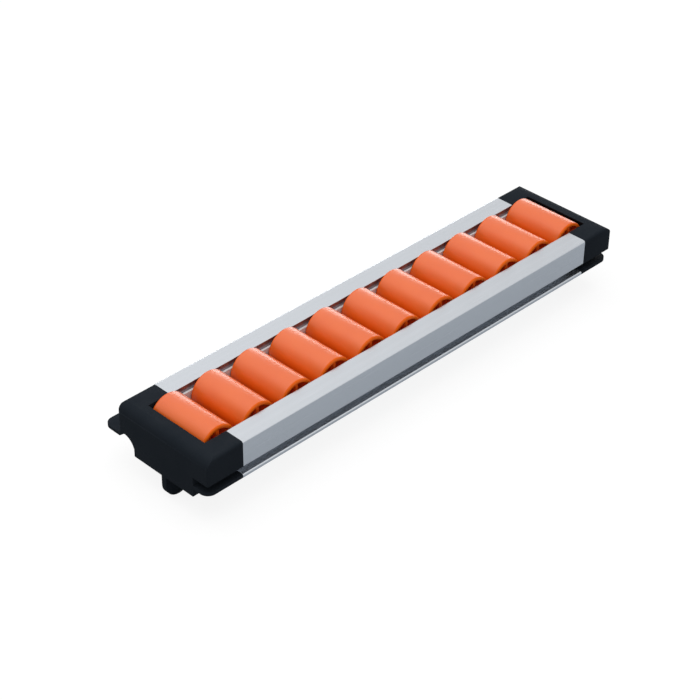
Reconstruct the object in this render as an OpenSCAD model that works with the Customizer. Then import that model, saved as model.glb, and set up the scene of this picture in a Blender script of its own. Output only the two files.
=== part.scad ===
// Flow rack roller track: plastic rollers on steel axles in an aluminium rail with moulded end caps.
// X runs along the track, Y across it and Z up. The origin is the centre of the rail's flat underside.

/* [Track] */
// Number of rollers
roller_count = 11; // [3:1:11]
// Distance from one axle to the next
pitch = 33; // [31:0.5:40]
// Distance from each end of the track to its nearest axle
end_to_axle = 25; // [24:0.5:30]

/* [Rail] */
// Width of the rail across its side faces
rail_w = 82; // [78:0.5:100]
// Height of the rail
rail_h = 28; // [27:0.5:32]
// Width of the channel that the rollers lie in
channel_w = 52; // [51:0.5:56]
// Height of the flat side face above the groove
side_h = 19; // [17:0.5:20]
// Thickness of the floor
floor_t = 1.5; // [1.2:0.1:2]
// Thickness of the flanges below the grooves
flange_t = 2.4; // [2:0.1:2.8]
// Radius of the flanges' upper outer edges
flange_edge_r = 1.1; // [0.5:0.1:1.8]
// How far the flanges' outer edges lie inside the side faces
flange_inset = 0.6; // [0:0.1:1.5]
// Thickness of the walls round the side chambers
wall_t = 1.5; // [1.2:0.1:2]
// Radius of the rail's upper outer edges
rail_edge_r = 1.8; // [0.8:0.1:2.5]

/* [Rollers] */
// Diameter of a roller
roller_d = 28; // [26:0.5:29]
// Length of a roller
roller_w = 47.6; // [40:0.2:48]
// How far a roller stands above the rail's top faces
roller_proud = 4; // [3:0.5:6]
// Radius of a roller's rounded end edges
roller_edge_r = 1.2; // [0.4:0.1:1.6]
// Thickness of a roller's outer wall
roller_wall = 2; // [1.6:0.1:3]
// Diameter of a roller's hub
hub_d = 9; // [8:0.5:12]
// Number of ribs between the hub and the outer wall
rib_count = 6; // [3:1:8]
// Thickness of a rib
rib_t = 2; // [1:0.1:3]
// Angle of the first rib
rib_angle = 93; // [60:1:120]
// How far the hub and ribs lie inside a roller's ends
rib_inset = 0.5; // [0.4:0.1:3]
// Thickness of the web across the middle of a roller
mid_web = 2.4; // [1.6:0.1:6]

/* [Axles] */
// Diameter of an axle
axle_d = 4; // [3:0.5:5]
// Radial clearance of a roller on its axle
run_gap = 0.06; // [0.02:0.01:0.1]
// Thickness of the strips that carry the axles
strip_t = 1.6; // [1.2:0.1:1.8]
// How far the strips' upper edges lie below the rail's top faces
strip_drop = 5; // [3:0.1:6]

/* [End caps] */
// Visible length of an end cap
cap_l = 29; // [28:0.5:32]
// Radius of the cap's upper end edge
cap_end_r = 7.5; // [4:0.5:9]
// Radius of the cap's upper side edges
cap_edge_r = 2.2; // [1:0.1:3]
// Radius of the cap's upright corners
cap_corner_r = 1.2; // [0.6:0.1:2.5]
// Radius of the pocket round the end roller
pocket_r = 16.5; // [15.5:0.1:16.5]
// How far the foot block reaches below the rail
foot_drop = 6; // [3:0.5:10]
// Length of the foot block along the track
foot_l = 24; // [18:1:28]
// Radius of the hollow between the foot block and the side tongue
hollow_r = 9; // [6:0.5:10]
// Radius of the flange's corner, seen from above
flange_r = 6.5; // [3:0.5:8]
// How far the flange beside the tongue starts from the end of the track
flange_setback = 6.5; // [4:0.5:10]
// How far the side tongue reaches beyond the side face
tongue_out = 15.8; // [8:0.2:18]
// Thickness of the side tongue
tongue_t = 2.2; // [1.6:0.1:3.5]
// Radius of the side tongue's corners, seen from above
tongue_r = 6.5; // [2:0.5:7]
// Width of the round lug under the cap
lug_d = 20; // [12:1:22]
// Thickness of the lug
lug_t = 4; // [2:0.2:5]
// How far the lug reaches below the rail
lug_drop = 23.5; // [16:0.5:30]
// Length of the plugs that hold the cap in the rail
plug_l = 16; // [8:1:24]

/* [Hidden] */
$fn = 96;
// Every node's name: a pair of digits counts the axles and rollers from the front end
function numbered(name) = [for (i = [1:roller_count]) str(name, "_", i < 10 ? "0" : "", i)];
axle_names = numbered("axle");
roller_names = numbered("roller");

track_l = (roller_count - 1) * pitch + 2 * end_to_axle;
rail_l = track_l - 2 * cap_l;
axle_x = [for (i = [0:roller_count - 1]) end_to_axle - track_l / 2 + i * pitch];
axle_z = rail_h + roller_proud - roller_d / 2;
half_w = rail_w / 2;
half_channel = channel_w / 2;
// Side faces end here, and the grooves begin
groove_top = rail_h - side_h;
// Inner walls of the grooves
groove_y = half_channel + wall_t;
// Outer edges of the flanges below the grooves
flange_y = half_w - flange_inset;
// Small rounded edges, and the inner corners of the rail's chambers
edge_r = 0.5;
chamber_r = 0.8;
// Gap between parts that fit together and stay so
fit_gap = 0.1;
axle_l = channel_w - 2 * fit_gap;
strip_y = half_channel - strip_t - fit_gap;
strip_top = rail_h - strip_drop;
strip_end_r = pocket_r - 2 * fit_gap;
axle_seat_gap = 0.02;
// The foot block, its hollow's centre and the tongue's lower face
foot_half_w = groove_y - fit_gap;
hollow_z = -2.3;
tongue_z = 2.9;
// Clearance of the plugs in the rail's chambers
plug_gap = 0.15;
// Overlap of forms that are joined or cut
over = 1;

orange = [0.91, 0.39, 0.17];
aluminium = [0.80, 0.82, 0.84];
black = [0.13, 0.14, 0.15];
steel = [0.62, 0.63, 0.65];
natural = [0.84, 0.84, 0.83];

// Lays a flat outline, drawn as Y and Z, along the track from x0 to x1
module along_x(x0, x1) {
    translate([x0, 0, 0])
        rotate([90, 0, 90])
            linear_extrude(x1 - x0)
                children();
}

// Lays a flat outline, drawn as X and Z, across the track from y0 to y1
module along_y(y0, y1) {
    translate([0, y1, 0])
        rotate([90, 0, 0])
            linear_extrude(y1 - y0)
                children();
}

// A rectangle between two corners, its own corners rounded
module soft_rect(low, high, r) {
    size = high - low;
    translate(low) {
        translate([r, 0])
            square([size[0] - 2 * r, size[1]]);
        translate([0, r])
            square([size[0], size[1] - 2 * r]);
        for (x = [r, size[0] - r], y = [r, size[1] - r])
            translate([x, y])
                circle(r);
    }
}

module both_sides() {
    children();
    mirror([1, 0])
        children();
}

// ---- Rail ----

// One side chamber's outline: a large radius outside at the top, small ones elsewhere
module chamber_outline() {
    middle_z = groove_top + side_h / 2;
    soft_rect([groove_y, groove_top], [half_w, rail_h], rail_edge_r);
    soft_rect([half_channel, groove_top], [half_w - rail_edge_r, rail_h], edge_r);
    soft_rect([half_channel, groove_top], [half_w, middle_z], edge_r);
}

// One flange's outline, from the channel outwards, its upper outer edge rounded
module flange_outline() {
    intersection() {
        translate([half_channel, 0])
            square([flange_y - half_channel, flange_t]);
        union() {
            square([flange_y - flange_edge_r, flange_t]);
            square([flange_y, flange_t - flange_edge_r]);
            translate([flange_y - flange_edge_r, flange_t - flange_edge_r])
                circle(flange_edge_r);
        }
    }
}

module rail_section() {
    both_sides() {
        difference() {
            union() {
                chamber_outline();
                translate([half_channel, 0])
                    square([wall_t, groove_top + over]);
            }
            soft_rect([groove_y, groove_top + wall_t], [half_w - wall_t, rail_h - wall_t], chamber_r);
        }
        square([half_channel + over, floor_t]);
        flange_outline();
    }
}

module rail_profile() {
    color(aluminium)
        along_x(-rail_l / 2, rail_l / 2)
            rail_section();
}

// ---- Axle strips ----

// Seen from the side: it lies on the rail's floor and ends in an arc inside each cap's pocket
module strip_outline() {
    difference() {
        union() {
            translate([axle_x[0], floor_t + over])
                square([axle_x[roller_count - 1] - axle_x[0], strip_top - floor_t - over]);
            translate([-rail_l / 2, floor_t])
                square([rail_l, 2 * over]);
            intersection() {
                for (x = [axle_x[0], axle_x[roller_count - 1]])
                    translate([x, axle_z])
                        circle(strip_end_r);
                translate([-track_l / 2, 0])
                    square([track_l, strip_top]);
            }
        }
        for (x = axle_x)
            translate([x, axle_z])
                circle(axle_d / 2 + axle_seat_gap);
    }
}

module axle_strip(side) {
    y0 = side > 0 ? strip_y : -strip_y - strip_t;
    color(natural)
        along_y(y0, y0 + strip_t)
            strip_outline();
}

// ---- End caps: drawn at the front end, with x = 0 at the end of the track ----

// Seen from above: from y0 to y1, and from x0 to the rail, with round corners at x0
module cap_plan(y0, y1, x0, r) {
    translate([x0 + r, y0])
        square([cap_l - x0 - r, y1 - y0]);
    translate([x0, y0 + r])
        square([cap_l - x0, y1 - y0 - 2 * r]);
    for (y = [y0 + r, y1 - r])
        translate([x0 + r, y])
            circle(r);
}

// The body above the grooves, as the common part of its side, end and top views
module cap_body() {
    intersection() {
        along_y(-half_w, half_w) {
            translate([cap_end_r, groove_top])
                square([cap_l - cap_end_r, side_h]);
            translate([0, groove_top])
                square([cap_l, side_h - cap_end_r]);
            translate([cap_end_r, rail_h - cap_end_r])
                circle(cap_end_r);
        }
        along_x(0, cap_l) {
            both_sides()
                translate([0, groove_top]) {
                    square([half_w - cap_edge_r, side_h]);
                    square([half_w, side_h - cap_edge_r]);
                }
            both_sides()
                translate([half_w - cap_edge_r, rail_h - cap_edge_r])
                    circle(cap_edge_r);
        }
        linear_extrude(rail_h + over)
            cap_plan(-half_w, half_w, 0, cap_corner_r);
    }
}

// The block below: as wide as the rail's channel and its walls, and down to the foot
module cap_foot() {
    along_x(0, cap_l)
        translate([-foot_half_w, 0])
            square([2 * foot_half_w, groove_top + over]);
    along_x(0, foot_l)
        soft_rect([-foot_half_w, -foot_drop], [foot_half_w, groove_top], edge_r);
}

// Flange beside the foot, in line with the rail's flange; it starts at x0
module cap_flange(x0) {
    linear_extrude(flange_t)
        cap_plan(-foot_half_w, flange_y, x0, flange_r);
}

// Tongue on one side: a thin plate, and the fillet under the body that leads to it from the foot
module cap_tongue() {
    hollow_y = foot_half_w + hollow_r;
    tongue_y = half_w + tongue_out;
    tongue_top = tongue_z + tongue_t;
    intersection() {
        along_x(0, cap_l)
            difference() {
                polygon([[foot_half_w - over, hollow_z], [hollow_y, hollow_z], [hollow_y, hollow_z + hollow_r],
                         [half_w, tongue_z], [tongue_y, tongue_z], [tongue_y, tongue_top],
                         [half_w, tongue_top], [half_w, groove_top + over], [foot_half_w - over, groove_top + over]]);
                intersection() {
                    translate([hollow_y, hollow_z])
                        circle(hollow_r);
                    translate([hollow_y - hollow_r, hollow_z - over])
                        square([hollow_r, hollow_r + over]);
                }
            }
        union() {
            linear_extrude(rail_h)
                cap_plan(-half_w, half_w, 0, cap_corner_r);
            linear_extrude(tongue_top)
                soft_rect([0, 0], [cap_l, tongue_y], tongue_r);
        }
    }
}

// Round lug that locates the track on a cross member
module cap_lug() {
    along_y(-lug_t / 2, lug_t / 2) {
        translate([lug_d / 2, lug_d / 2 - lug_drop])
            circle(d = lug_d);
        translate([0, lug_d / 2 - lug_drop])
            square([lug_d, lug_drop - lug_d / 2]);
    }
}

// Plugs that fill the ends of the rail's side chambers
module cap_plugs() {
    for (side = [0, 1])
        mirror([0, side, 0])
            along_x(cap_l - over, cap_l + plug_l)
                soft_rect([groove_y + plug_gap, groove_top + wall_t + plug_gap],
                          [half_w - wall_t - plug_gap, rail_h - wall_t - plug_gap], chamber_r);
}

module end_cap() {
    color(black)
        difference() {
            union() {
                cap_body();
                cap_foot();
                mirror([0, 1, 0])
                    cap_flange(0);
                cap_flange(flange_setback);
                cap_tongue();
                cap_lug();
                cap_plugs();
            }
            along_y(-half_channel, half_channel)
                translate([end_to_axle, axle_z])
                    circle(pocket_r);
        }
}

module end_cap_front() {
    translate([-track_l / 2, 0, 0])
        end_cap();
}

// The rear cap is the front one's mirror image, so both tongues are on the same side
module end_cap_rear() {
    mirror([1, 0, 0])
        end_cap_front();
}

// ---- Axles and rollers ----

module axle(i) {
    color(steel)
        translate([axle_x[i], 0, axle_z])
            rotate([90, 0, 0])
                cylinder(d = axle_d, h = axle_l, center = true);
}

// Half of a roller's outline, from its axis outwards
module roller_outline() {
    r = roller_d / 2;
    translate([0, -roller_w / 2])
        square([r - roller_edge_r, roller_w]);
    translate([0, roller_edge_r - roller_w / 2])
        square([r, roller_w - 2 * roller_edge_r]);
    for (z = [roller_edge_r - roller_w / 2, roller_w / 2 - roller_edge_r])
        translate([r - roller_edge_r, z])
            circle(roller_edge_r);
}

// The pockets between hub, ribs and outer wall
module roller_pockets() {
    inner_r = roller_d / 2 - roller_wall;
    difference() {
        circle(inner_r);
        circle(d = hub_d);
        for (k = [0:rib_count - 1])
            rotate(rib_angle + k * 360 / rib_count)
                translate([0, -rib_t / 2])
                    square([inner_r + over, rib_t]);
    }
}

module roller(i) {
    inner_r = roller_d / 2 - roller_wall;
    depth = (roller_w - mid_web) / 2;
    color(orange)
        translate([axle_x[i], 0, axle_z])
            rotate([90, 0, 0])
                difference() {
                    rotate_extrude()
                        roller_outline();
                    for (side = [0, 1])
                        mirror([0, 0, side]) {
                            translate([0, 0, mid_web / 2])
                                linear_extrude(depth + over)
                                    roller_pockets();
                            translate([0, 0, roller_w / 2 - rib_inset])
                                cylinder(r = inner_r, h = rib_inset + over);
                        }
                    cylinder(r = axle_d / 2 + run_gap, h = roller_w + over, center = true);
                }
}

rail_profile();
axle_strip(1);  // axle_strip_left
axle_strip(-1);  // axle_strip_right
end_cap_front();
end_cap_rear();
for (i = [0:roller_count - 1]) {
    axle(i);
    roller(i);
}
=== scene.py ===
import math

import bmesh
import bpy
from mathutils import Matrix, Vector


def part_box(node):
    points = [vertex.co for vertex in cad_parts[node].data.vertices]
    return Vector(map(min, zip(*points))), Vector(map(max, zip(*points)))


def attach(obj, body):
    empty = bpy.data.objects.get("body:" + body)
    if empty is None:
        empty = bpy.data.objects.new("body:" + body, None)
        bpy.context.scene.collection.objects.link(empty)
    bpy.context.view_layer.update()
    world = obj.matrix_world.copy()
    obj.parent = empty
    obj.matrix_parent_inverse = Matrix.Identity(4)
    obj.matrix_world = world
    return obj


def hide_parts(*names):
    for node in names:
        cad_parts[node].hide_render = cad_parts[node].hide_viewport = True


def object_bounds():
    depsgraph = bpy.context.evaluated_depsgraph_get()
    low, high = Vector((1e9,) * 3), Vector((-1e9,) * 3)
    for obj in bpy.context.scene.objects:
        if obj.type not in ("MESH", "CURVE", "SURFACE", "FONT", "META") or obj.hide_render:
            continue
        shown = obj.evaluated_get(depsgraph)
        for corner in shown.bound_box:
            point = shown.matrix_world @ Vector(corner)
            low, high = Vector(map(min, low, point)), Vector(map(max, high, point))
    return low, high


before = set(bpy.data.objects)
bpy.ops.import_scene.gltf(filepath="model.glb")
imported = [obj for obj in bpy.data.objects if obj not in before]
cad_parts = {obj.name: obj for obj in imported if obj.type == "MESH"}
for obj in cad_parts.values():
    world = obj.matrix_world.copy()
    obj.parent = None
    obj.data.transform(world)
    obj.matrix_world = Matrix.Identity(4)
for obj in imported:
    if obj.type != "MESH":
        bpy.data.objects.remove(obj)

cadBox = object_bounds()
scene = bpy.context.scene
stripNames = ["axle_strip_left", "axle_strip_right"]
capNames = ["end_cap_front", "end_cap_rear"]
axleNames = sorted(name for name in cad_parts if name.startswith("axle_") and name not in stripNames)
rollerNames = sorted(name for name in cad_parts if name.startswith("roller_"))
white = (1.0, 1.0, 1.0, 1.0)
print("frame loaded:", len(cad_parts), "nodes,", len(rollerNames), "rollers")


# helpers that every node tree below is built with

def nodeOf(tree, kind, inputs=None, **settings):
    node = tree.nodes.new(kind)
    for name, value in settings.items():
        setattr(node, name, value)
    for name, value in (inputs or {}).items():
        if isinstance(value, bpy.types.NodeSocket):
            tree.links.new(value, node.inputs[name])
        else:
            node.inputs[name].default_value = value
    return node


def maths(tree, operation, first, second=0.0, clamp=False):
    node = nodeOf(tree, "ShaderNodeMath", {0: first, 1: second}, operation=operation, use_clamp=clamp)
    return node.outputs[0]


def blendNumbers(tree, mask, first, second):
    return nodeOf(tree, "ShaderNodeMix", {0: mask, 2: first, 3: second}).outputs[0]


def blendColours(tree, mask, first, second):
    return nodeOf(tree, "ShaderNodeMix", {0: mask, 6: first, 7: second}, data_type="RGBA").outputs[2]


# camera: its place and aim are in metres, in the track's own frame, and its angles in degrees

cameraView = {
    "azimuth": -45.55,
    "elevation": 35.41,
    "roll": 0.70,
    "aim": (-0.0258, 0.0031, 0.0055),
    "distance": 1.262,
    "lens": 98.74,
    "sensor": 36.0,
    "clipStart": 0.05,
    "clipEnd": 30.0,
}


def makeCamera(view):
    data = bpy.data.cameras.new("camera")
    data.sensor_width = view["sensor"]
    data.lens = view["lens"]
    data.clip_start = view["clipStart"]
    data.clip_end = view["clipEnd"]
    azimuth = math.radians(view["azimuth"])
    elevation = math.radians(view["elevation"])
    back = Vector((math.sin(azimuth) * math.cos(elevation),
                   -math.cos(azimuth) * math.cos(elevation),
                   math.sin(elevation)))
    right = Vector((math.cos(azimuth), math.sin(azimuth), 0.0))
    turn = Matrix((right, back.cross(right), back)).transposed().to_4x4()
    turn = turn @ Matrix.Rotation(math.radians(view["roll"]), 4, "Z")
    camera = bpy.data.objects.new("camera", data)
    camera.matrix_world = Matrix.Translation(Vector(view["aim"]) + back * view["distance"]) @ turn
    scene.collection.objects.link(camera)
    scene.camera = camera


makeCamera(cameraView)
print("camera placed")


# light, floor and background

studio = {
    "skyOnPart": 0.48,         # strength of the sky that lights the part
    "skySeen": 1.0,            # strength of the sky that the camera sees, and of its middle in reflections
    "nearSkySeen": 0.02,       # strength in reflections that look past the near end of the track
    "nearSkyRange": (-0.82, -0.35),    # where it changes: how far a direction points along the track
    "farSkySeen": 0.60,        # strength in reflections that look past the far end
    "farSkyRange": (0.45, 0.85),
    "floorPaint": (0.40, 0.40, 0.40, 1.0),            # the floor for light that it throws back on the part
    "floorReflected": (0.475, 0.505, 0.540, 1.0),     # the floor in reflections
    "floorSeenPaint": (0.17, 0.17, 0.17, 1.0),        # the floor for the camera
    "floorSeenGlow": 0.87,                            # what makes it white for the camera
    "floorReach": 8.0,
    "floorGap": 0.0002,
}
lamps = {
    "overheadLamp": {
        "place": (-0.15, 0.1, 1.6),
        "width": 2.0,
        "height": 2.0,
        "watts": 18.0,
        "reflected": False,
    },
    "farLamp": {
        "place": (1.8, 1.25, 0.16),
        "width": 2.4,
        "height": 0.40,
        "watts": 9.6,
        "reflected": True,
    },
}


def seenMask(tree):
    # 1 for the camera, for reflections and through glass; 0 for the light that falls on the part
    rays = nodeOf(tree, "ShaderNodeLightPath")
    first = maths(tree, "MAXIMUM", rays.outputs["Is Camera Ray"], rays.outputs["Is Glossy Ray"])
    return maths(tree, "MAXIMUM", first, rays.outputs["Is Transmission Ray"])


def makeSky():
    world = bpy.data.worlds.new("studioSky")
    world.use_nodes = True
    tree = world.node_tree
    tree.nodes.clear()
    rays = nodeOf(tree, "ShaderNodeLightPath")
    direction = nodeOf(tree, "ShaderNodeTexCoord").outputs["Generated"]
    along = nodeOf(tree, "ShaderNodeSeparateXYZ", {0: direction})
    nearLow, nearHigh = studio["nearSkyRange"]
    nearSide = nodeOf(tree, "ShaderNodeMapRange", {
        "Value": along.outputs["X"], "From Min": nearLow, "From Max": nearHigh,
        "To Min": studio["nearSkySeen"], "To Max": studio["skySeen"]})
    farLow, farHigh = studio["farSkyRange"]
    reflected = nodeOf(tree, "ShaderNodeMapRange", {
        "Value": along.outputs["X"], "From Min": farLow, "From Max": farHigh,
        "To Min": nearSide.outputs[0], "To Max": studio["farSkySeen"]})
    seen = blendNumbers(tree, rays.outputs["Is Glossy Ray"], studio["skySeen"], reflected.outputs[0])
    strength = blendNumbers(tree, seenMask(tree), studio["skyOnPart"], seen)
    sky = nodeOf(tree, "ShaderNodeBackground", {"Color": white, "Strength": strength})
    out = nodeOf(tree, "ShaderNodeOutputWorld")
    tree.links.new(sky.outputs[0], out.inputs["Surface"])
    scene.world = world


def makeFloorPaint():
    material = bpy.data.materials.new("floorPaint")
    material.use_nodes = True
    tree = material.node_tree
    tree.nodes.clear()
    rays = nodeOf(tree, "ShaderNodeLightPath")
    pale = blendColours(tree, seenMask(tree), studio["floorPaint"], studio["floorReflected"])
    pale = blendColours(tree, rays.outputs["Is Camera Ray"], pale, studio["floorSeenPaint"])
    paint = nodeOf(tree, "ShaderNodeBsdfDiffuse", {"Color": pale})
    glow = nodeOf(tree, "ShaderNodeEmission", {
        "Color": white,
        "Strength": maths(tree, "MULTIPLY", rays.outputs["Is Camera Ray"], studio["floorSeenGlow"])})
    both = nodeOf(tree, "ShaderNodeAddShader", {0: paint.outputs[0], 1: glow.outputs[0]})
    # the floor is clear from below, so that the underside of the track can be seen
    side = nodeOf(tree, "ShaderNodeNewGeometry").outputs["Backfacing"]
    clear = nodeOf(tree, "ShaderNodeBsdfTransparent", {"Color": white})
    surface = nodeOf(tree, "ShaderNodeMixShader", {0: side, 1: both.outputs[0], 2: clear.outputs[0]})
    out = nodeOf(tree, "ShaderNodeOutputMaterial")
    tree.links.new(surface.outputs[0], out.inputs["Surface"])
    return material


def makeFloor():
    reach = studio["floorReach"]
    low = cadBox[0].z - studio["floorGap"]
    mesh = bpy.data.meshes.new("floor")
    corners = [(-reach, -reach, low), (reach, -reach, low), (reach, reach, low), (-reach, reach, low)]
    mesh.from_pydata(corners, [], [(0, 1, 2, 3)])
    mesh.materials.append(makeFloorPaint())
    floor = bpy.data.objects.new("floor", mesh)
    scene.collection.objects.link(floor)


def makeLamp(name, values):
    data = bpy.data.lights.new(name, "AREA")
    data.shape = "RECTANGLE"
    data.size = values["width"]
    data.size_y = values["height"]
    data.energy = values["watts"]
    place = Vector(values["place"])
    lamp = bpy.data.objects.new(name, data)
    # it points at the track's origin
    lamp.matrix_world = Matrix.Translation(place) @ (-place).to_track_quat("-Z", "Y").to_matrix().to_4x4()
    lamp.visible_glossy = values["reflected"]
    scene.collection.objects.link(lamp)


scene.view_settings.view_transform = "Standard"
makeSky()
makeFloor()
for lampName, lampValues in lamps.items():
    makeLamp(lampName, lampValues)
print("studio lit")


# shader groups that several finishes share

floatSocket = "NodeSocketFloat"
vectorSocket = "NodeSocketVector"


def makeGroup(name, inputs, outputs):
    group = bpy.data.node_groups.new(name, "ShaderNodeTree")
    for label, kind, value in inputs:
        socket = group.interface.new_socket(label, in_out="INPUT", socket_type=kind)
        if value is not None:
            socket.default_value = value
    for label, kind in outputs:
        group.interface.new_socket(label, in_out="OUTPUT", socket_type=kind)
    return group, nodeOf(group, "NodeGroupInput"), nodeOf(group, "NodeGroupOutput")


def noiseOf(group, vector, scale, detail, roughness):
    node = nodeOf(group, "ShaderNodeTexNoise", {
        "Vector": vector, "Scale": scale, "Detail": detail, "Roughness": roughness})
    return node.outputs[0]


def perMetre(group, size):
    return maths(group, "DIVIDE", 1.0, size)


def spreadOf(group, value, zeroAt, oneAt):
    # 0 at one value and 1 at the other, held at both ends
    node = nodeOf(group, "ShaderNodeMapRange", {"Value": value, "From Min": zeroAt, "From Max": oneAt})
    return node.outputs[0]


def makeGrainGroup():
    # fine grain of a mould, and slow patches of shade over it
    group, given, out = makeGroup(
        "fineGrain",
        [("Vector", vectorSocket, None), ("Grain Size", floatSocket, 0.0005),
         ("Patch Size", floatSocket, 0.03)],
        [("Height", floatSocket), ("Patches", floatSocket)])
    vector = given.outputs["Vector"]
    grain = noiseOf(group, vector, perMetre(group, given.outputs["Grain Size"]), detail=3.0, roughness=0.6)
    cloud = noiseOf(group, vector, perMetre(group, given.outputs["Patch Size"]), detail=4.0, roughness=0.55)
    patches = spreadOf(group, cloud, zeroAt=0.35, oneAt=0.65)
    group.links.new(grain, out.inputs["Height"])
    group.links.new(patches, out.inputs["Patches"])
    return group


def makeWearGroup():
    # where hands, boxes and racks rub an edge: the edge itself, broken up by noise
    group, given, out = makeGroup(
        "edgeWear",
        [("Vector", vectorSocket, None), ("Reach", floatSocket, 0.0005), ("Amount", floatSocket, 0.5),
         ("Break Size", floatSocket, 0.004)],
        [("Mask", floatSocket)])
    rounded = nodeOf(group, "ShaderNodeBevel", {"Radius": given.outputs["Reach"]}, samples=6)
    facing = nodeOf(group, "ShaderNodeNewGeometry")
    same = nodeOf(group, "ShaderNodeVectorMath", {0: rounded.outputs[0], 1: facing.outputs["True Normal"]},
                  operation="DOT_PRODUCT")
    # the further the rounded normal turns away from the face's own, the nearer the edge
    edge = spreadOf(group, same.outputs["Value"], zeroAt=0.985, oneAt=0.86)
    breakScale = perMetre(group, given.outputs["Break Size"])
    broken = noiseOf(group, given.outputs["Vector"], breakScale, detail=5.0, roughness=0.65)
    worn = maths(group, "MULTIPLY", edge, spreadOf(group, broken, zeroAt=0.38, oneAt=0.68))
    mask = maths(group, "MULTIPLY", worn, given.outputs["Amount"], clamp=True)
    group.links.new(mask, out.inputs["Mask"])
    return group


def makeLinesGroup():
    # fine lines, close together along an axis with a large scale and long along one with a small scale
    group, given, out = makeGroup(
        "drawnLines",
        [("Vector", vectorSocket, None), ("Scale Per Axis", vectorSocket, (1.0, 1.0, 1.0))],
        [("Height", floatSocket), ("Streaks", floatSocket)])
    stretched = nodeOf(group, "ShaderNodeVectorMath", {
        0: given.outputs["Vector"], 1: given.outputs["Scale Per Axis"]}, operation="MULTIPLY").outputs[0]
    lines = noiseOf(group, stretched, 1.0, detail=4.0, roughness=0.7)
    # the streaks are about six lines wide
    wide = noiseOf(group, stretched, 0.16, detail=3.0, roughness=0.5)
    streaks = spreadOf(group, wide, zeroAt=0.35, oneAt=0.65)
    group.links.new(lines, out.inputs["Height"])
    group.links.new(streaks, out.inputs["Streaks"])
    return group


def makeDustGroup():
    # a little dust on faces that look up
    group, given, out = makeGroup(
        "settledDust",
        [("Vector", vectorSocket, None), ("Amount", floatSocket, 0.1), ("Cloud Size", floatSocket, 0.02)],
        [("Mask", floatSocket)])
    facing = nodeOf(group, "ShaderNodeNewGeometry")
    parts = nodeOf(group, "ShaderNodeSeparateXYZ", {0: facing.outputs["Normal"]})
    upward = spreadOf(group, parts.outputs["Z"], zeroAt=0.45, oneAt=1.0)
    cloudScale = perMetre(group, given.outputs["Cloud Size"])
    cloud = noiseOf(group, given.outputs["Vector"], cloudScale, detail=8.0, roughness=0.72)
    lying = maths(group, "MULTIPLY", upward, spreadOf(group, cloud, zeroAt=0.4, oneAt=0.75))
    mask = maths(group, "MULTIPLY", lying, given.outputs["Amount"], clamp=True)
    group.links.new(mask, out.inputs["Mask"])
    return group


grainGroup = makeGrainGroup()
wearGroup = makeWearGroup()
linesGroup = makeLinesGroup()
dustGroup = makeDustGroup()
print("shader groups made")


# steps that the finishes share; every finish reads Object coordinates

def startFinish(name):
    material = bpy.data.materials.new(name)
    material.use_nodes = True
    tree = material.node_tree
    place = nodeOf(tree, "ShaderNodeTexCoord").outputs["Object"]
    return material, tree, tree.nodes["Principled BSDF"], place


def grainOn(tree, place, values):
    return nodeOf(tree, "ShaderNodeGroup", {
        "Vector": place, "Grain Size": values["grainSize"], "Patch Size": values["patchSize"]},
        node_tree=grainGroup)


def linesOn(tree, place, values):
    return nodeOf(tree, "ShaderNodeGroup", {"Vector": place, "Scale Per Axis": values["linesPerMetre"]},
                  node_tree=linesGroup)


def wearOn(tree, place, values):
    return nodeOf(tree, "ShaderNodeGroup", {
        "Vector": place, "Reach": values["edgeReach"], "Amount": values["edgeAmount"],
        "Break Size": values["edgeBreakSize"]}, node_tree=wearGroup).outputs["Mask"]


def dustOn(tree, place, values):
    return nodeOf(tree, "ShaderNodeGroup", {
        "Vector": place, "Amount": values["dust"], "Cloud Size": values["dustSize"]},
        node_tree=dustGroup).outputs["Mask"]


def rangeOf(tree, value, low, high):
    return nodeOf(tree, "ShaderNodeMapRange", {"Value": value, "To Min": low, "To Max": high}).outputs[0]


def bumpFrom(tree, height, strength, distance):
    node = nodeOf(tree, "ShaderNodeBump", {"Height": height, "Strength": strength, "Distance": distance})
    return node.outputs[0]


# rail: extruded aluminium with fine lines along the track

railFinish = {
    "tone": (0.680, 0.713, 0.758, 1.0),
    "paleTone": (0.700, 0.733, 0.778, 1.0),
    "edgeTone": (0.76, 0.77, 0.79, 1.0),
    # painted shade for the channel's inner faces
    "channelShadeTone": (0.28, 0.26, 0.29, 1.0),
    "channelRoughness": 0.34,
    "channelHalfWidth": 0.02605,    # just past the channel's walls
    "channelLow": 0.0007,           # between the floor's two faces
    "metallic": 0.90,
    "roughness": (0.24, 0.29),
    "linesPerMetre": (9.0, 2600.0, 2600.0),
    "lineStrength": 0.05,
    "lineDepth": 0.00002,
    "edgeReach": 0.0004,
    "edgeAmount": 0.30,
    "edgeBreakSize": 0.006,
    "dust": 0.06,
    "dustSize": 0.03,
    "dustTone": (0.55, 0.54, 0.52, 1.0),
}


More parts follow.
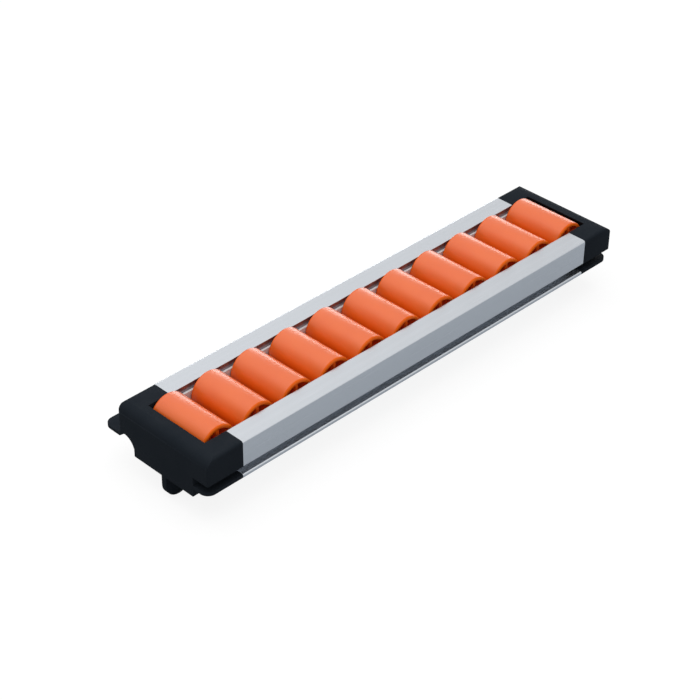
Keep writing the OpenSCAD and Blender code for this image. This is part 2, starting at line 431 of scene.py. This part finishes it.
def makeRailFinish(values):
    material, tree, shader, place = startFinish("extrudedAluminium")
    lines = linesOn(tree, place, values)
    tone = blendColours(tree, lines.outputs["Streaks"], values["tone"], values["paleTone"])
    tone = blendColours(tree, wearOn(tree, place, values), tone, values["edgeTone"])
    # painted shade: the channel's inner faces are given a darker tone than the outside, and a rougher
    # finish
    position = nodeOf(tree, "ShaderNodeSeparateXYZ", {0: place})
    fromMiddle = maths(tree, "ABSOLUTE", position.outputs["Y"])
    between = maths(tree, "LESS_THAN", fromMiddle, values["channelHalfWidth"])
    above = maths(tree, "GREATER_THAN", position.outputs["Z"], values["channelLow"])
    inside = maths(tree, "MULTIPLY", between, above)
    tone = blendColours(tree, inside, tone, values["channelShadeTone"])
    tone = blendColours(tree, dustOn(tree, place, values), tone, values["dustTone"])
    tree.links.new(tone, shader.inputs["Base Color"])
    rough = rangeOf(tree, lines.outputs["Height"], *values["roughness"])
    rough = blendNumbers(tree, inside, rough, values["channelRoughness"])
    tree.links.new(rough, shader.inputs["Roughness"])
    tree.links.new(bumpFrom(tree, lines.outputs["Height"], values["lineStrength"], values["lineDepth"]),
                   shader.inputs["Normal"])
    shader.inputs["Metallic"].default_value = values["metallic"]
    return material


# rollers: orange moulding, glossy on the barrel, with painted light inside the recessed ends: a brighter,
# redder tone there

rollerFinish = {
    "tone": (0.875, 0.137, 0.004, 1.0),
    "deepTone": (0.850, 0.125, 0.003, 1.0),
    "rubbedTone": (0.88, 0.17, 0.03, 1.0),
    # painted light: the brighter, redder tone inside the recessed ends
    "recessLightTone": (0.98, 0.110, 0.004, 1.0),
    "recessRadius": 0.0118,
    "roughness": (0.28, 0.35),
    "gloss": 0.15,
    "barrelHalfWidth": 0.0226,      # the barrel without its rounded ends
    "barrelCoat": 1.0,
    "coatRoughness": 0.38,
    "coatIor": 1.75,
    "linesPerMetre": (0.0, 1500.0, 0.0),
    "grainSize": 0.0011,
    "grainStrength": 0.02,
    "grainDepth": 0.00005,
    "patchSize": 0.018,
    "edgeReach": 0.0004,
    "edgeAmount": 0.22,
    "edgeBreakSize": 0.003,
}


def axleSpacing():
    # the axles' height and half the distance from one to the next, for the pattern that repeats with them
    boxes = [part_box(name) for name in axleNames]
    places = sorted((low.x + high.x) / 2 for low, high in boxes)
    height = (boxes[0][0].z + boxes[0][1].z) / 2
    return height, (places[-1] - places[0]) / (len(places) - 1) / 2


def paintedRecessLightMask(tree, position, values):
    # 1 close to an axle, in the recessed ends where light is painted: one axle stands at X = 0, and X is
    # wrapped to the distance from the nearest one
    axleHeight, halfPitch = axleSpacing()
    offset = nodeOf(tree, "ShaderNodeMath", {0: position.outputs["X"], 1: halfPitch, 2: -halfPitch},
                    operation="WRAP").outputs[0]
    rise = maths(tree, "SUBTRACT", position.outputs["Z"], axleHeight)
    fromAxle = nodeOf(tree, "ShaderNodeCombineXYZ", {"X": offset, "Z": rise}).outputs[0]
    reach = nodeOf(tree, "ShaderNodeVectorMath", {0: fromAxle}, operation="LENGTH").outputs["Value"]
    return maths(tree, "LESS_THAN", reach, values["recessRadius"])


def makeRollerFinish(values):
    material, tree, shader, place = startFinish("orangeMoulding")
    grain = grainOn(tree, place, values)
    rubbed = linesOn(tree, place, values)
    tone = blendColours(tree, grain.outputs["Patches"], values["tone"], values["deepTone"])
    tone = blendColours(tree, wearOn(tree, place, values), tone, values["rubbedTone"])
    position = nodeOf(tree, "ShaderNodeSeparateXYZ", {0: place})
    # painted light: inside the recessed ends the tone is brighter and redder, standing in for light there
    tone = blendColours(tree, paintedRecessLightMask(tree, position, values), tone, values["recessLightTone"])
    tree.links.new(tone, shader.inputs["Base Color"])
    rough = rangeOf(tree, rubbed.outputs["Height"], *values["roughness"])
    tree.links.new(rough, shader.inputs["Roughness"])
    tree.links.new(bumpFrom(tree, grain.outputs["Height"], values["grainStrength"], values["grainDepth"]),
                   shader.inputs["Normal"])
    # the barrel is polished by what rolls on it, the moulded ends aren't
    fromMiddle = maths(tree, "ABSOLUTE", position.outputs["Y"])
    barrel = maths(tree, "LESS_THAN", fromMiddle, values["barrelHalfWidth"])
    tree.links.new(maths(tree, "MULTIPLY", barrel, values["barrelCoat"]), shader.inputs["Coat Weight"])
    shader.inputs["Coat Roughness"].default_value = values["coatRoughness"]
    shader.inputs["Coat IOR"].default_value = values["coatIor"]
    shader.inputs["Specular IOR Level"].default_value = values["gloss"]
    return material


# end caps: black moulding with a fine grain

capFinish = {
    "tone": (0.0142, 0.0188, 0.0250, 1.0),
    "paleTone": (0.0164, 0.0210, 0.0275, 1.0),
    "edgeTone": (0.030, 0.034, 0.041, 1.0),
    "roughness": (0.54, 0.66),
    "gloss": 0.025,
    "grainSize": 0.00042,
    "grainStrength": 0.30,
    "grainDepth": 0.00004,
    "patchSize": 0.022,
    "edgeReach": 0.0005,
    "edgeAmount": 0.35,
    "edgeBreakSize": 0.003,
    "dust": 0.05,
    "dustSize": 0.012,
    "dustTone": (0.10, 0.10, 0.10, 1.0),
}


def makeCapFinish(values):
    material, tree, shader, place = startFinish("blackMoulding")
    grain = grainOn(tree, place, values)
    tone = blendColours(tree, grain.outputs["Patches"], values["tone"], values["paleTone"])
    tone = blendColours(tree, wearOn(tree, place, values), tone, values["edgeTone"])
    tone = blendColours(tree, dustOn(tree, place, values), tone, values["dustTone"])
    tree.links.new(tone, shader.inputs["Base Color"])
    tree.links.new(rangeOf(tree, grain.outputs["Height"], *values["roughness"]), shader.inputs["Roughness"])
    tree.links.new(bumpFrom(tree, grain.outputs["Height"], values["grainStrength"], values["grainDepth"]),
                   shader.inputs["Normal"])
    shader.inputs["Specular IOR Level"].default_value = values["gloss"]
    return material


# axles: drawn steel

axleFinish = {
    "tone": (0.56, 0.57, 0.58, 1.0),
    "paleTone": (0.68, 0.68, 0.67, 1.0),
    "roughness": (0.20, 0.34),
    "linesPerMetre": (900.0, 2400.0, 900.0),
    "lineStrength": 0.12,
    "lineDepth": 0.00002,
}


def makeAxleFinish(values):
    material, tree, shader, place = startFinish("drawnSteel")
    lines = linesOn(tree, place, values)
    tone = blendColours(tree, lines.outputs["Streaks"], values["tone"], values["paleTone"])
    tree.links.new(tone, shader.inputs["Base Color"])
    tree.links.new(rangeOf(tree, lines.outputs["Height"], *values["roughness"]), shader.inputs["Roughness"])
    tree.links.new(bumpFrom(tree, lines.outputs["Height"], values["lineStrength"], values["lineDepth"]),
                   shader.inputs["Normal"])
    shader.inputs["Metallic"].default_value = 1.0
    return material


# axle strips: uncoloured moulding

stripFinish = {
    "tone": (0.78, 0.79, 0.80, 1.0),
    "paleTone": (0.84, 0.845, 0.855, 1.0),
    "roughness": (0.38, 0.50),
    "grainSize": 0.0006,
    "grainStrength": 0.12,
    "grainDepth": 0.00003,
    "patchSize": 0.03,
    "dust": 0.12,
    "dustSize": 0.015,
    "dustTone": (0.55, 0.54, 0.52, 1.0),
}


def makeStripFinish(values):
    material, tree, shader, place = startFinish("naturalMoulding")
    grain = grainOn(tree, place, values)
    tone = blendColours(tree, grain.outputs["Patches"], values["tone"], values["paleTone"])
    tone = blendColours(tree, dustOn(tree, place, values), tone, values["dustTone"])
    tree.links.new(tone, shader.inputs["Base Color"])
    tree.links.new(rangeOf(tree, grain.outputs["Height"], *values["roughness"]), shader.inputs["Roughness"])
    tree.links.new(bumpFrom(tree, grain.outputs["Height"], values["grainStrength"], values["grainDepth"]),
                   shader.inputs["Normal"])
    return material


extrudedAluminium = makeRailFinish(railFinish)
orangeMoulding = makeRollerFinish(rollerFinish)
blackMoulding = makeCapFinish(capFinish)
drawnSteel = makeAxleFinish(axleFinish)
naturalMoulding = makeStripFinish(stripFinish)
print("finishes made")


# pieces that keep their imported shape: rail, axle strips and axles

def dressNode(name, material):
    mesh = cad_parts[name].data
    mesh.materials.clear()
    mesh.materials.append(material)


dressNode("rail_profile", extrudedAluminium)
for stripName in stripNames:
    dressNode(stripName, naturalMoulding)
for axleName in axleNames:
    dressNode(axleName, drawnSteel)
print("rail, strips and axles dressed")


# rollers: one tree makes the moulded roller, and runs once for each body

rollerShape = {
    "Outer Radius": 0.014,
    "Width": 0.0476,
    "Wall": 0.0023,
    "Outer Round": 0.0012,
    "Inner Round": 0.0002,
    "Hub Radius": 0.0045,
    "Bore Radius": 0.00206,
    "Rib Count": 6,
    "Rib Thickness": 0.0023,
    "Rib Angle": math.radians(93.0),
    "Inset": 0.0005,
    "Web Thickness": 0.0024,
}
rollerDetail = {
    "wallSteps": 128,           # steps round the axle
    "hubSteps": 64,
    "webSteps": 96,
    "ringCornerSteps": 4,
    "ribCornerSteps": 3,
    "smallRound": 0.0003,       # corners of the hub and the ribs
    "webRound": 0.0001,
    "webOverlap": 0.0003,       # how far the web and the ribs reach into the hub and the wall
    "ribOverlap": 0.0004,
    "smoothAngle": 38.0,
    "mergeDistance": 1e-7,
}


def makeRing(tree, fromRadius, toRadius, height, cornerRadius, steps):
    # a ring about Z with a rounded rectangular section
    middle = maths(tree, "MULTIPLY", maths(tree, "ADD", fromRadius, toRadius), 0.5)
    section = nodeOf(tree, "GeometryNodeCurvePrimitiveQuadrilateral",
                     {"Width": maths(tree, "SUBTRACT", toRadius, fromRadius), "Height": height})
    section = nodeOf(tree, "GeometryNodeFilletCurve", {
        "Curve": section.outputs[0], "Count": rollerDetail["ringCornerSteps"],
        "Radius": cornerRadius}, mode="POLY")
    path = nodeOf(tree, "GeometryNodeCurvePrimitiveCircle", {"Resolution": steps, "Radius": middle})
    return nodeOf(tree, "GeometryNodeCurveToMesh",
                  {"Curve": path.outputs[0], "Profile Curve": section.outputs[0]}).outputs[0]


def makeWall(tree, given, innerRadius):
    # the outer wall's corners are larger outside than inside
    position = nodeOf(tree, "GeometryNodeInputPosition").outputs[0]
    corner = nodeOf(tree, "ShaderNodeSeparateXYZ", {0: position})
    outside = maths(tree, "GREATER_THAN", corner.outputs["X"], 0.0)
    rounding = rangeOf(tree, outside, given["Inner Round"], given["Outer Round"])
    return makeRing(tree, innerRadius, given["Outer Radius"], given["Width"],
                    rounding, rollerDetail["wallSteps"])


def makeHub(tree, given, coreWidth):
    return makeRing(tree, given["Bore Radius"], given["Hub Radius"], coreWidth,
                    rollerDetail["smallRound"], rollerDetail["hubSteps"])


def makeWeb(tree, given, innerRadius):
    fromRadius = maths(tree, "SUBTRACT", given["Hub Radius"], rollerDetail["webOverlap"])
    toRadius = maths(tree, "ADD", innerRadius, rollerDetail["webOverlap"])
    return makeRing(tree, fromRadius, toRadius, given["Web Thickness"],
                    rollerDetail["webRound"], rollerDetail["webSteps"])


def makeRibs(tree, given, innerRadius, coreWidth):
    # one rib from the hub to the wall, then as many as the count says, turned about the axle
    start = maths(tree, "SUBTRACT", given["Hub Radius"], rollerDetail["ribOverlap"])
    end = maths(tree, "ADD", innerRadius, rollerDetail["ribOverlap"])
    line = nodeOf(tree, "GeometryNodeCurvePrimitiveLine", {
        "Start": nodeOf(tree, "ShaderNodeCombineXYZ", {"X": start}).outputs[0],
        "End": nodeOf(tree, "ShaderNodeCombineXYZ", {"X": end}).outputs[0]})
    section = nodeOf(tree, "GeometryNodeCurvePrimitiveQuadrilateral",
                     {"Width": given["Rib Thickness"], "Height": coreWidth})
    section = nodeOf(tree, "GeometryNodeFilletCurve", {
        "Curve": section.outputs[0], "Count": rollerDetail["ribCornerSteps"],
        "Radius": rollerDetail["smallRound"]}, mode="POLY")
    rib = nodeOf(tree, "GeometryNodeCurveToMesh",
                 {"Curve": line.outputs[0], "Profile Curve": section.outputs[0], "Fill Caps": True})
    places = nodeOf(tree, "GeometryNodePoints", {"Count": given["Rib Count"]})
    step = maths(tree, "DIVIDE", 2.0 * math.pi, given["Rib Count"])
    turn = maths(tree, "MULTIPLY", nodeOf(tree, "GeometryNodeInputIndex").outputs[0], step)
    turn = maths(tree, "ADD", turn, given["Rib Angle"])
    return nodeOf(tree, "GeometryNodeInstanceOnPoints", {
        "Points": places.outputs[0], "Instance": rib.outputs[0],
        "Rotation": nodeOf(tree, "ShaderNodeCombineXYZ", {"Z": turn}).outputs[0]}).outputs[0]


def makeRollerTree(shape):
    tree = bpy.data.node_groups.new("mouldedRoller", "GeometryNodeTree")
    tree.interface.new_socket("Geometry", in_out="OUTPUT", socket_type="NodeSocketGeometry")
    tree.interface.new_socket("Place", in_out="INPUT", socket_type=vectorSocket)
    tree.interface.new_socket("Material", in_out="INPUT", socket_type="NodeSocketMaterial")
    for name, value in shape.items():
        kind = "NodeSocketInt" if isinstance(value, int) else floatSocket
        tree.interface.new_socket(name, in_out="INPUT", socket_type=kind).default_value = value
    given = nodeOf(tree, "NodeGroupInput").outputs
    coreWidth = maths(tree, "SUBTRACT", given["Width"], maths(tree, "MULTIPLY", given["Inset"], 2.0))
    innerRadius = maths(tree, "SUBTRACT", given["Outer Radius"], given["Wall"])
    parts = nodeOf(tree, "GeometryNodeJoinGeometry")
    tree.links.new(makeWall(tree, given, innerRadius), parts.inputs[0])
    tree.links.new(makeHub(tree, given, coreWidth), parts.inputs[0])
    tree.links.new(makeWeb(tree, given, innerRadius), parts.inputs[0])
    tree.links.new(makeRibs(tree, given, innerRadius, coreWidth), parts.inputs[0])
    # made about Z, then turned to lie along Y and moved to its axle
    lying = nodeOf(tree, "GeometryNodeTransform",
                   {"Geometry": parts.outputs[0], "Rotation": (math.radians(90.0), 0.0, 0.0)})
    placed = nodeOf(tree, "GeometryNodeTransform",
                    {"Geometry": lying.outputs[0], "Translation": given["Place"]})
    real = nodeOf(tree, "GeometryNodeRealizeInstances", {"Geometry": placed.outputs[0]})
    painted = nodeOf(tree, "GeometryNodeSetMaterial",
                     {"Geometry": real.outputs[0], "Material": given["Material"]})
    out = nodeOf(tree, "NodeGroupOutput")
    tree.links.new(painted.outputs[0], out.inputs["Geometry"])
    return tree


def socketNamed(tree, name):
    return [item.identifier for item in tree.interface.items_tree
            if item.name == name and item.in_out == "INPUT"][0]


def meshFromTree(name, tree, values):
    seed = bpy.data.meshes.new(name + "Seed")
    piece = bpy.data.objects.new(name, seed)
    scene.collection.objects.link(piece)
    modifier = piece.modifiers.new("shape", "NODES")
    modifier.node_group = tree
    for label, value in values.items():
        modifier[socketNamed(tree, label)] = value
    bpy.context.view_layer.update()
    made = bpy.data.meshes.new_from_object(piece.evaluated_get(bpy.context.evaluated_depsgraph_get()))
    made.name = name
    piece.modifiers.clear()
    piece.data = made
    bpy.data.meshes.remove(seed)
    return piece


def smoothByAngle(mesh, degrees):
    mesh.shade_smooth()
    mesh.set_sharp_from_angle(angle=math.radians(degrees))


def faceOutwards(mesh, mergeDistance):
    work = bmesh.new()
    work.from_mesh(mesh)
    bmesh.ops.remove_doubles(work, verts=work.verts, dist=mergeDistance)
    bmesh.ops.recalc_face_normals(work, faces=work.faces)
    work.to_mesh(mesh)
    work.free()


def makeRoller(nodeName, tree):
    low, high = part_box(nodeName)
    roller = meshFromTree("moulded_" + nodeName, tree,
                          {"Place": tuple((low + high) / 2), "Material": orangeMoulding})
    faceOutwards(roller.data, rollerDetail["mergeDistance"])
    smoothByAngle(roller.data, rollerDetail["smoothAngle"])
    # a roller's body has the name of its node
    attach(roller, nodeName)
    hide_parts(nodeName)
    print(nodeName, "made:", len(roller.data.polygons), "faces")


rollerTree = makeRollerTree(rollerShape)
for rollerName in rollerNames:
    makeRoller(rollerName, rollerTree)


# end caps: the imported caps, merged, with every sharp edge given a small moulded radius

capShape = {
    "edgeRadius": 0.0005,
    "segments": 3,
    "sharpAngle": 28.0,         # an edge is rounded past this angle
    "flatAngle": 1.0,           # faces are joined below this one
    "smoothAngle": 35.0,
    "mergeDistance": 2e-6,
}


def roundEdges(mesh, shape):
    work = bmesh.new()
    work.from_mesh(mesh)
    bmesh.ops.remove_doubles(work, verts=work.verts, dist=shape["mergeDistance"])
    bmesh.ops.dissolve_limit(work, angle_limit=math.radians(shape["flatAngle"]),
                             verts=work.verts, edges=work.edges)
    bmesh.ops.recalc_face_normals(work, faces=work.faces)
    sharp = [edge for edge in work.edges
             if len(edge.link_faces) == 2 and edge.calc_face_angle(0.0) > math.radians(shape["sharpAngle"])]
    bmesh.ops.bevel(work, geom=sharp, offset=shape["edgeRadius"], offset_type="OFFSET",
                    segments=shape["segments"], profile=0.5, affect="EDGES", clamp_overlap=True)
    bmesh.ops.recalc_face_normals(work, faces=work.faces)
    work.to_mesh(mesh)
    work.free()


def makeCap(nodeName, shape):
    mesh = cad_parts[nodeName].data.copy()
    mesh.name = "moulded_" + nodeName
    roundEdges(mesh, shape)
    mesh.materials.clear()
    mesh.materials.append(blackMoulding)
    smoothByAngle(mesh, shape["smoothAngle"])
    cap = bpy.data.objects.new("moulded_" + nodeName, mesh)
    scene.collection.objects.link(cap)
    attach(cap, "track")
    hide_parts(nodeName)
    print(nodeName, "made:", len(mesh.polygons), "faces")


for capName in capNames:
    makeCap(capName, capShape)
